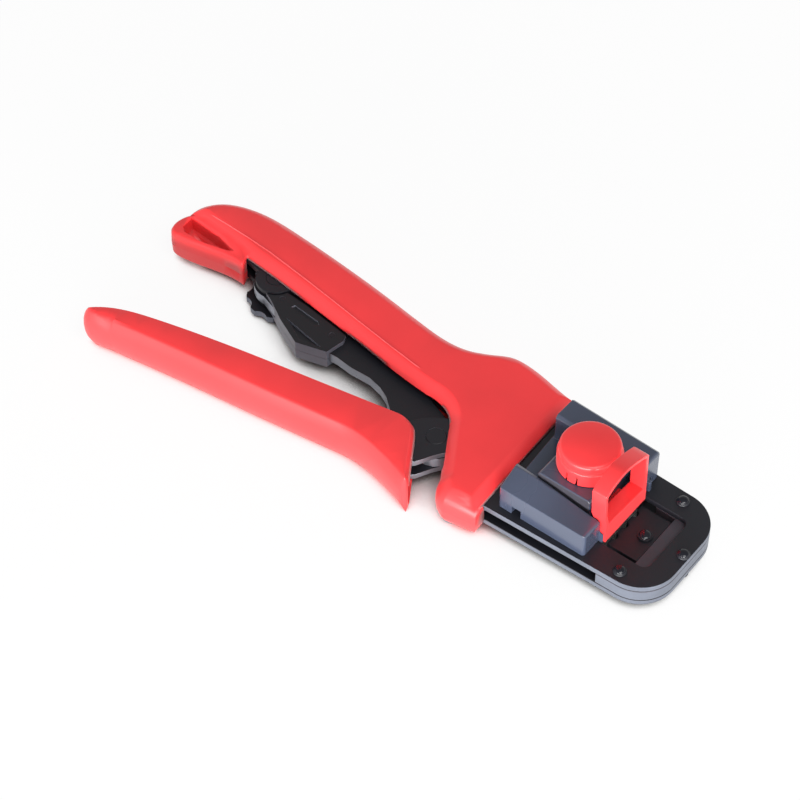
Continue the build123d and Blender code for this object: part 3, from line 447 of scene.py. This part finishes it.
class CRIMPER_OT_plates(bpy.types.Operator):
    """Stamped plates of the frame and the moving handle with their bare edges"""
    bl_idname = "crimper.plates"
    bl_label = "Plates"

    def execute(self, context):
        skin = finishes()
        size = context.scene.crimper_sizes
        # The top plate's upper corner takes the pale sheared steel as a painted highlight
        dressed("frame_upper_plate", size.plate_edge, [skin["oxide"], skin["sheared"]], top_rim_painted_highlight)
        dressed("frame_lower_plate", size.plate_edge, [skin["oxide"], skin["sheared"]], rim)
        for name in ("handle_upper_plate", "handle_lower_plate", "link_arm"):
            dressed(name, size.plate_edge, [skin["oxide"], skin["ground"]], flat_up)
        dressed("nose_spacer", size.plate_edge, [skin["dull"], skin["sheared"]], rim)
        for name in ("anvil_die", "punch_die"):
            dressed(name, size.small_edge, [skin["oxide"]])
        for name in ("jaw_slide", "slide_guides", "spine_spacer"):
            dressed(name, size.small_edge, [skin["dull"]])
        dressed("ratchet_pawl", size.small_edge, [skin["ground"]])
        return {"FINISHED"}


NOSE_RIVETS = ((118.3, 20.0), (118.3, -20.0), (132.0, 0.0))
DOME_STEPS, DOME_TURNS = 8, 40
DOME_SUNK = 0.02 * MM


def dome(name, on, x, y, radius, height, skin):
    """Domed head spun over a flat one of a CAD node, at a place in plan in metres."""
    z = seat(faces_of(on), x, y).z - DOME_SUNK
    bm = bmesh.new()
    angles = [i / DOME_STEPS * math.pi / 2 for i in range(DOME_STEPS + 1)]
    arc = [bm.verts.new((radius * math.cos(a), 0.0, height * math.sin(a))) for a in angles]
    edges = [bm.edges.new(pair) for pair in zip(arc, arc[1:])]
    bmesh.ops.spin(bm, geom=arc + edges, cent=(0, 0, 0), axis=(0, 0, 1), angle=math.tau, steps=DOME_TURNS,
                   use_merge=True)
    bmesh.ops.remove_doubles(bm, verts=bm.verts, dist=MERGE)
    bmesh.ops.holes_fill(bm, edges=bm.edges)
    bmesh.ops.recalc_face_normals(bm, faces=bm.faces)
    bmesh.ops.translate(bm, verts=bm.verts, vec=(x, y, z))
    return finished(name, bm, [skin], body_of("nose_rivets"))


class CRIMPER_OT_fasteners(bpy.types.Operator):
    """Rivets, pins, screws and springs"""
    bl_idname = "crimper.fasteners"
    bl_label = "Fasteners"

    def execute(self, context):
        skin = finishes()
        size = context.scene.crimper_sizes
        for name in ("nose_rivets", "guide_rivets", "die_screw", "jaw_pin", "link_pin", "cover_screws",
                     "adjuster_pin"):
            dressed(name, size.small_edge, [skin["oxide"]])
        for name in ("spine_rivets", "handle_rivets", "body_screws", "pawl_pin", "locator_screws",
                     "knob_spindle"):
            dressed(name, size.small_edge, [skin["bright"]])
        for number, (x, y) in enumerate(NOSE_RIVETS, 1):
            dome(f"nose_dome_{number}", "nose_rivets", (x - PLAN_X) * MM, y * MM, size.rivet_dome_r, size.dome_h,
                 skin["polished"])
        low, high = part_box("die_screw")
        dome("screw_dome", "die_screw", (low[0] + high[0]) / 2, (low[1] + high[1]) / 2, size.screw_dome_r,
             size.dome_h, skin["polished"])
        for name in ("return_springs", "arch_spring", "pawl_spring"):
            NODES[name].data.materials.clear()
            NODES[name].data.materials.append(skin["bright"])
        return {"FINISHED"}


class CRIMPER_OT_linkage(bpy.types.Operator):
    """Cover halves of the link arm and the thumb wheel"""
    bl_idname = "crimper.linkage"
    bl_label = "Linkage"

    def execute(self, context):
        skin = finishes()
        size = context.scene.crimper_sizes
        for name in ("arm_cover_upper", "arm_cover_lower"):
            # The cover's upright sides take the paler grey copy of the black as painted light
            dressed(name, size.small_edge, [skin["black"], skin["black_side"]], flat_up)
        dressed("adjuster_wheel", size.plate_edge, [skin["oxide"], skin["sheared"]], flat_up)
        return {"FINISHED"}


def smooth_share(value, start, end):
    """Share from 0 at start to 1 at end, with level ends."""
    t = min(1.0, max(0.0, (value - start) / (end - start)))
    return t * t * (3 - 2 * t)


SADDLE_FRONT, SADDLE_REAR = 57.5 * MM, 19.5 * MM
SADDLE_CUTS = 9  # lengths that the walls are cut into, so that the near one's top can bend
WALL_INSIDE = -13.4 * MM  # inside of the near wall at its front end
NEAR = 0.2 * MM  # how close counts as lying on a plane
BROAD_ANGLE = math.radians(25)


def saddle(size, skin):
    """Saddle: upright front ends, a near wall whose top runs out flat to the front, and rounded ends."""
    bm = copied("locator_base")
    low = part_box("locator_base")[0]
    above_floor = low[2] + 2.6 * MM
    front, rear = SADDLE_FRONT, SADDLE_REAR
    for vert in bm.verts:
        at = vert.co
        if front - 3.5 * MM < at.x < front + NEAR and at.z > low[2] + 3 * MM:
            at.x = front
        if at.x < low[0] + NEAR and at.y < -20 * MM:
            at.x = rear
        if at.x > front - NEAR and -14 * MM < at.y < -10 * MM and at.z > above_floor:
            at.y = WALL_INSIDE
    for i in range(1, SADDLE_CUTS):
        x = rear + (front - rear) * i / SADDLE_CUTS
        bmesh.ops.bisect_plane(bm, geom=bm.verts[:] + bm.edges[:] + bm.faces[:], plane_co=(x, 0.0, 0.0),
                               plane_no=(1.0, 0.0, 0.0))
    for vert in bm.verts:
        at = vert.co
        if at.y < -10 * MM and at.z > size.saddle_low:
            at.z += (size.saddle_low - at.z) * smooth_share(at.x, rear + 3 * MM, front)

    bmesh.ops.remove_doubles(bm, verts=bm.verts, dist=0.05 * MM)
    bmesh.ops.dissolve_degenerate(bm, edges=bm.edges, dist=0.01 * MM)
    bmesh.ops.dissolve_limit(bm, angle_limit=math.radians(0.6), verts=bm.verts, edges=bm.edges)

    def broad(edge):
        """True for the edges at the walls' outer ends, which are rounded more than the others."""
        a, b = (v.co for v in edge.verts)
        if len(edge.link_faces) != 2 or edge.calc_face_angle() < BROAD_ANGLE or edge.calc_length() < 1.5 * MM:
            return False
        at_rear = max(a.x, b.x) < rear + NEAR
        at_front = min(a.x, b.x) > front - NEAR and max(a.x, b.x) < front + NEAR
        near_side = max(a.y, b.y) < -22 * MM
        far_side = min(a.y, b.y) > 20 * MM
        rear_top = at_rear and max(a.y, b.y) < -13 * MM and max(a.z, b.z) > above_floor
        front_top = at_front and min(a.z, b.z) > low[2] + 9 * MM
        return rear_top or (at_rear and near_side) or front_top or (at_front and (near_side or far_side))

    bmesh.ops.bevel(bm, geom=[e for e in bm.edges if broad(e)], offset=size.saddle_end, offset_type="OFFSET",
                    segments=4, profile=0.5, affect="EDGES", clamp_overlap=False, material=-1)
    soften(bm, size.mould_edge * 0.6, 2, 40.0)
    bm.normal_update()
    return finished("locator_base_dressed", bm, [skin], body_of("locator_base"),
                    ("locator_base",), 40.0)


class CRIMPER_OT_locator(bpy.types.Operator):
    """Slate saddle and deck of the locator"""
    bl_idname = "crimper.locator"
    bl_label = "Locator"

    def execute(self, context):
        skin = finishes()
        size = context.scene.crimper_sizes
        saddle(size, skin["slate"])
        # The deck's near side takes the dull black steel as painted shade, for the deep slit between it and the
        # saddle's near wall
        dressed("locator_deck", size.mould_edge, [skin["slate"], skin["dull"]], near_side_painted_shade, steps=3)
        return {"FINISHED"}


# The gate's rear face in plan, and its two outlines there as y, z, all in mm
GATE_X0 = 100.8
GATE_OUTSIDE = [(-12.9, 14.7), (-13.0, 25.6), (-14.2, 29.0), (-14.9, 41.2), (-14.2, 42.2), (-12.2, 43.5),
                (-8.8, 45.0), (-5.2, 45.8), (-1.6, 45.8), (3.8, 44.4), (8.0, 42.9), (10.6, 41.8), (11.8, 40.4),
                (12.2, 27.3), (12.6, 14.7)]
GATE_WINDOW = [(-11.6, 24.4), (-11.8, 26.0), (-12.9, 30.0), (-13.4, 40.6), (-12.4, 41.6), (-10.6, 42.5),
               (-8.2, 43.4), (-5.2, 44.1), (-1.8, 44.1), (3.0, 43.0), (6.8, 41.7), (9.0, 40.8), (9.8, 39.8),
               (10.2, 27.3), (10.4, 22.4)]
TONGUE_W, TONGUE_H, TONGUE_Z = 14.0 * MM, 3.0 * MM, 17.1 * MM


def ring(bm, points, x):
    """Closed loop of edges across the tool."""
    verts = [bm.verts.new(((x - PLAN_X) * MM, y * MM, z * MM)) for y, z in points]
    return [bm.edges.new((verts[i], verts[(i + 1) % len(verts)])) for i in range(len(verts))]


def gate(size, skin):
    """Domed gate in front of the knob: a thin arched band over a window, with its tongue below the deck."""
    bm = bmesh.new()
    edges = ring(bm, GATE_OUTSIDE, GATE_X0) + ring(bm, GATE_WINDOW, GATE_X0)
    bmesh.ops.bridge_loops(bm, edges=edges)
    walls = bmesh.ops.extrude_face_region(bm, geom=bm.faces[:])
    moved = [g for g in walls["geom"] if isinstance(g, bmesh.types.BMVert)]
    bmesh.ops.translate(bm, verts=moved, vec=(size.gate_l, 0.0, 0.0))
    bmesh.ops.recalc_face_normals(bm, faces=bm.faces)
    soften(bm, size.gate_edge, 2, 50.0)
    low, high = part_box("locator_arch")
    tongue = bmesh.ops.create_cube(bm, size=1.0)["verts"]
    reach = (GATE_X0 - PLAN_X) * MM - low[0]
    bmesh.ops.scale(bm, verts=tongue, vec=(reach, TONGUE_W, TONGUE_H))
    bmesh.ops.translate(bm, verts=tongue, vec=(low[0] + reach / 2, (low[1] + high[1]) / 2, TONGUE_Z))
    bm.normal_update()
    return finished("locator_arch_dressed", bm, [skin], body_of("locator_arch"),
                    ("locator_arch",), 40.0)


class CRIMPER_OT_gate(bpy.types.Operator):
    """Red gate with its domed band and window"""
    bl_idname = "crimper.gate"
    bl_label = "Gate"

    def execute(self, context):
        gate(context.scene.crimper_sizes, finishes()["red_smooth"])
        return {"FINISHED"}


KNOB_STEPS = 90
KNOB_SLOTS = (260.7, 283.7, 80.7, 103.7)  # degrees round the knob


class CRIMPER_OT_knob(bpy.types.Operator):
    """Red locator knob with its step, rounded face and skirt slots"""
    bl_idname = "crimper.knob"
    bl_label = "Knob"

    def execute(self, context):
        skin = finishes()
        size = context.scene.crimper_sizes
        low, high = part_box("locator_knob")
        x, y = (low[0] + high[0]) / 2, (low[1] + high[1]) / 2
        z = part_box("locator_deck")[1][2] + 0.4 * MM
        r, rs, top = size.knob_r, size.knob_step_r, size.knob_h
        step = top - size.knob_step_h
        profile = [(rs - 4 * MM, -3.0 * MM), (rs - 4 * MM, 0.0), (r, 0.0),
                   (r, size.knob_slot_h), (r, step - 0.5 * MM), (r - 0.25 * MM, step - 0.1 * MM),
                   (rs, step + 0.25 * MM), (rs, top - 2.4 * MM)]
        profile += [(rs - 1.5 * MM * (1 - math.cos(a)), top - 2.4 * MM + 1.5 * MM * math.sin(a))
                    for a in (math.radians(d) for d in (15, 30, 45, 60, 75, 90))]
        profile += [(rs - 2.0 * MM, top - 0.75 * MM), (rs * 0.5, top - 0.2 * MM), (0.0, top)]
        bm = bmesh.new()
        verts = [bm.verts.new((pr, 0.0, pz)) for pr, pz in profile]
        edges = [bm.edges.new(pair) for pair in zip(verts, verts[1:])]
        bmesh.ops.spin(bm, geom=verts + edges, cent=(0, 0, 0), axis=(0, 0, 1), angle=math.tau,
                       steps=KNOB_STEPS, use_merge=True)
        bmesh.ops.remove_doubles(bm, verts=bm.verts, dist=MERGE)
        bmesh.ops.holes_fill(bm, edges=bm.edges)
        bmesh.ops.recalc_face_normals(bm, faces=bm.faces)
        turn = math.degrees(math.tau) / KNOB_STEPS
        slots = []
        for face in bm.faces:
            at = face.calc_center_median()
            if abs(face.normal.z) < 0.1 and 0.0 < at.z < size.knob_slot_h and at.xy.length > r - 0.1 * MM:
                angle = math.degrees(math.atan2(at.y, at.x)) % 360
                if any(abs(angle - a) <= turn / 2 for a in KNOB_SLOTS):
                    slots.append(face)
        # The slot floors take the black plastic as painted shade, for the dark hollow behind the skirt
        pushed = bmesh.ops.extrude_discrete_faces(bm, faces=slots)["faces"]
        for face in pushed:
            bmesh.ops.translate(bm, verts=face.verts, vec=-face.normal * size.knob_slot_d)
            face.material_index = 1
        bmesh.ops.translate(bm, verts=bm.verts, vec=(x, y, z))
        bm.normal_update()
        finished("locator_knob_dressed", bm, [skin["red_smooth"], skin["black"]], body_of("locator_knob"),
                 ("locator_knob",), 35.0)
        return {"FINISHED"}


# The photograph's camera: its height over the bench, its turn about the tool and its distance in metres
VIEW_UP = math.radians(49.4)
VIEW_TURN = math.radians(-38.0)
VIEW_AWAY = 1.0
VIEW_AT = Vector((-47.0, 4.86, 0.0)) * MM
PIXELS_PER_MM = 2.62
IMAGE = 800


def turned(right, away, up):
    """Vector given along the photograph's right, its depth and up, in the tool's frame."""
    c, s = math.cos(VIEW_TURN), math.sin(VIEW_TURN)
    return Vector((c * right + s * away, -s * right + c * away, up))


def lamp(name, side, width, height, power):
    """Soft box at a place given as right, away, up from the tool, aimed at it."""
    data = bpy.data.lights.new(name, "AREA")
    data.energy = power
    data.shape = "RECTANGLE"
    data.size = width
    data.size_y = height
    made = bpy.data.objects.new(name, data)
    bpy.context.scene.collection.objects.link(made)
    made.location = turned(*side)
    made.rotation_euler = (-made.location).to_track_quat("-Z", "Y").to_euler()


class CRIMPER_OT_stage(bpy.types.Operator):
    """Pale floor, soft lamps, white world and the camera of the photograph"""
    bl_idname = "crimper.stage"
    bl_label = "Stage"

    def execute(self, context):
        scene = context.scene
        bm = bmesh.new()
        bmesh.ops.create_grid(bm, x_segments=1, y_segments=1, size=3.0)
        mesh = bpy.data.meshes.new("floor")
        bm.to_mesh(mesh)
        bm.free()
        mesh.materials.append(studio_white("studio_floor", scene.crimper_colours.floor))
        floor = bpy.data.objects.new("floor", mesh)
        scene.collection.objects.link(floor)

        world = bpy.data.worlds.new("studio")
        world.use_nodes = True
        tree = world.node_tree
        tree.nodes.clear()
        where = node(tree, "ShaderNodeTexCoord")
        height = node(tree, "ShaderNodeSeparateXYZ", links={0: where.outputs["Generated"]})
        fall = node(tree, "ShaderNodeMapRange",
                    {"From Min": 0.05, "From Max": 0.7, "To Min": 1.1, "To Max": 0.32},
                    {"Value": height.outputs["Z"]})
        sky = node(tree, "ShaderNodeBackground", {"Color": (1.0, 1.0, 1.0, 1.0)},
                   {"Strength": fall.outputs["Result"]})
        node(tree, "ShaderNodeOutputWorld", links={"Surface": sky.outputs[0]})
        scene.world = world

        lamp("front_lamp", (-0.2, -1.0, 0.10), 1.4, 0.16, 24.5)
        lamp("over_lamp", (0.25, -0.55, 1.0), 0.7, 0.7, 7.5)

        ahead = turned(0.0, math.cos(VIEW_UP), -math.sin(VIEW_UP))
        over = turned(0.0, math.sin(VIEW_UP), math.cos(VIEW_UP))
        right = turned(1.0, 0.0, 0.0)
        data = bpy.data.cameras.new("camera")
        data.sensor_width = 36.0
        data.lens = PIXELS_PER_MM * VIEW_AWAY / MM / IMAGE * data.sensor_width
        camera = bpy.data.objects.new("camera", data)
        scene.collection.objects.link(camera)
        turn = Matrix((right, over, -ahead)).transposed()
        camera.matrix_world = Matrix.Translation(VIEW_AT - ahead * VIEW_AWAY) @ turn.to_4x4()
        scene.camera = camera
        scene.view_settings.view_transform = "Standard"
        return {"FINISHED"}


STEPS = ("handles", "seam", "plates", "fasteners", "linkage", "locator", "gate", "knob", "stage")


class CRIMPER_PT_panel(bpy.types.Panel):
    """Sizes, colours and steps of the tool"""
    bl_idname = "CRIMPER_PT_panel"
    bl_label = "Crimping tool"
    bl_space_type = "VIEW_3D"
    bl_region_type = "UI"
    bl_category = "Crimping tool"

    def draw(self, context):
        layout = self.layout
        for group in (context.scene.crimper_sizes, context.scene.crimper_colours):
            for key in group.__annotations__:
                layout.prop(group, key)
        for step in STEPS:
            layout.operator("crimper." + step)


CLASSES = (CrimperColours, CrimperSizes, CRIMPER_OT_handles, CRIMPER_OT_seam, CRIMPER_OT_plates,
           CRIMPER_OT_fasteners, CRIMPER_OT_linkage, CRIMPER_OT_locator, CRIMPER_OT_gate, CRIMPER_OT_knob,
           CRIMPER_OT_stage, CRIMPER_PT_panel)


def register():
    for cls in CLASSES:
        bpy.utils.register_class(cls)
    bpy.types.Scene.crimper_colours = bpy.props.PointerProperty(type=CrimperColours)
    bpy.types.Scene.crimper_sizes = bpy.props.PointerProperty(type=CrimperSizes)


def unregister():
    del bpy.types.Scene.crimper_sizes
    del bpy.types.Scene.crimper_colours
    for cls in reversed(CLASSES):
        bpy.utils.unregister_class(cls)


def main():
    register()
    for step in STEPS:
        getattr(bpy.ops.crimper, step)()


if __name__ == "__main__":
    main()
